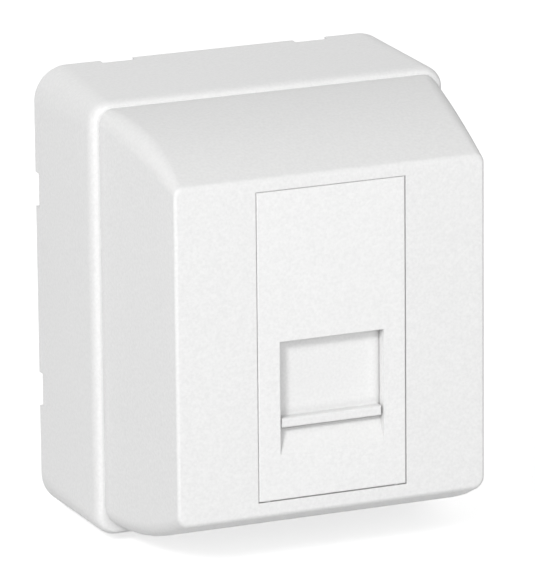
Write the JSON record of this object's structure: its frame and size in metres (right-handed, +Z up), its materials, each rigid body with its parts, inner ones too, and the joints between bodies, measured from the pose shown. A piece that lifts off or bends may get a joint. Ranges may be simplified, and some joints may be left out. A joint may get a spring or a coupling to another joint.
{
  "type": "surface mount jack box",
  "caption": "Small wall-mounted data outlet box: deep tray, tapered clip-fit cover, flush module with a spring-loaded sliding shutter over a modular socket.",
  "frame": {"origin": "centre of the back face, on the wall, midway between the two wall screws", "axes": "+X to the right seen from the front, +Y into the wall, +Z up; the front faces -Y"},
  "size_m": [0.0554, 0.0435, 0.0658],
  "materials": {
    "case_plastic": "moulded, fine matt texture",
    "module_plastic": "moulded, fine matt texture",
    "shutter_plastic": "moulded, smooth satin",
    "retainer_plastic": "moulded, satin",
    "jack_plastic": "moulded, satin",
    "board": "lacquered laminate",
    "terminal_plastic": "moulded, satin",
    "cap_plastic": "moulded, satin",
    "spring_steel": "drawn wire",
    "contact_gold": "gold-plated wire",
    "fork_metal": "tin-plated sheet"
  },
  "bodies": {
    "box": {"rear_housing": "case_plastic", "front_cover": "case_plastic", "insert_face": "module_plastic", "shutter_retainer": "retainer_plastic", "jack_housing": "jack_plastic", "contact_carrier": "jack_plastic", "jack_circuit_board": "board", "idc_block_left": "terminal_plastic", "idc_block_right": "terminal_plastic", "idc_cap_left": "cap_plastic", "idc_cap_right": "cap_plastic", "shutter_spring": "spring_steel", "contact_1": "contact_gold", "contact_2": "contact_gold", "contact_3": "contact_gold", "contact_4": "contact_gold", "contact_5": "contact_gold", "contact_6": "contact_gold", "contact_7": "contact_gold", "contact_8": "contact_gold", "idc_contact_1": "fork_metal", "idc_contact_2": "fork_metal", "idc_contact_3": "fork_metal", "idc_contact_4": "fork_metal", "idc_contact_5": "fork_metal", "idc_contact_6": "fork_metal", "idc_contact_7": "fork_metal", "idc_contact_8": "fork_metal"},
    "shutter": {"shutter": "shutter_plastic"}
  },
  "joints": [
    {"name": "shutter_slide", "type": "slide", "parent": "box", "child": "shutter", "axis": [0, 0, 1], "range_m": [0, 0.01], "stiffness_N_per_m": 40, "springref_m": -0.004, "deforming": ["shutter_spring"]}
  ]
}
